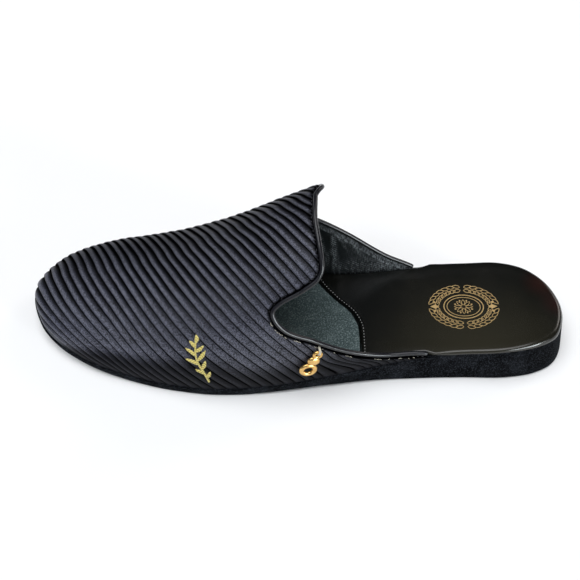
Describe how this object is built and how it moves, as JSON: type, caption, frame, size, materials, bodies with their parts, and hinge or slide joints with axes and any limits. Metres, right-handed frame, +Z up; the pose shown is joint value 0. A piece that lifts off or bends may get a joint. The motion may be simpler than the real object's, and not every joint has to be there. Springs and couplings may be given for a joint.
{
  "type": "loafer slipper",
  "caption": "Backless dress slipper for the left foot, pleated satin vamp with raised tongue, suede wedge sole and a small gold hanging charm.",
  "frame": {"origin": "on the floor, at the middle of the sole's length and width", "axes": "+X towards the toe, +Y towards the wearer's left, +Z up"},
  "size_m": [0.2994, 0.0992, 0.095],
  "materials": {
    "suede": "napped black suede",
    "satin": "pleated black satin",
    "piping": "satin-covered cord",
    "sock_suede": "grey-green suede",
    "sock_leather": "polished black leather",
    "gold": "polished gold colour",
    "thread": "pale gold thread"
  },
  "bodies": {
    "shoe": {"outsole": "suede", "upper": "satin", "topline_piping": "piping", "front_sock": "sock_suede", "heel_sock": "sock_leather", "charm_thread": "thread"},
    "charm": {"charm": "gold"}
  },
  "joints": [
    {"name": "charm_lift", "type": "hinge", "parent": "shoe", "child": "charm", "pos_m": [-0.01406, 0.04271, 0.03465], "axis": [0.9068, 0.1905, 0.376], "range_deg": [0, 80]}
  ]
}
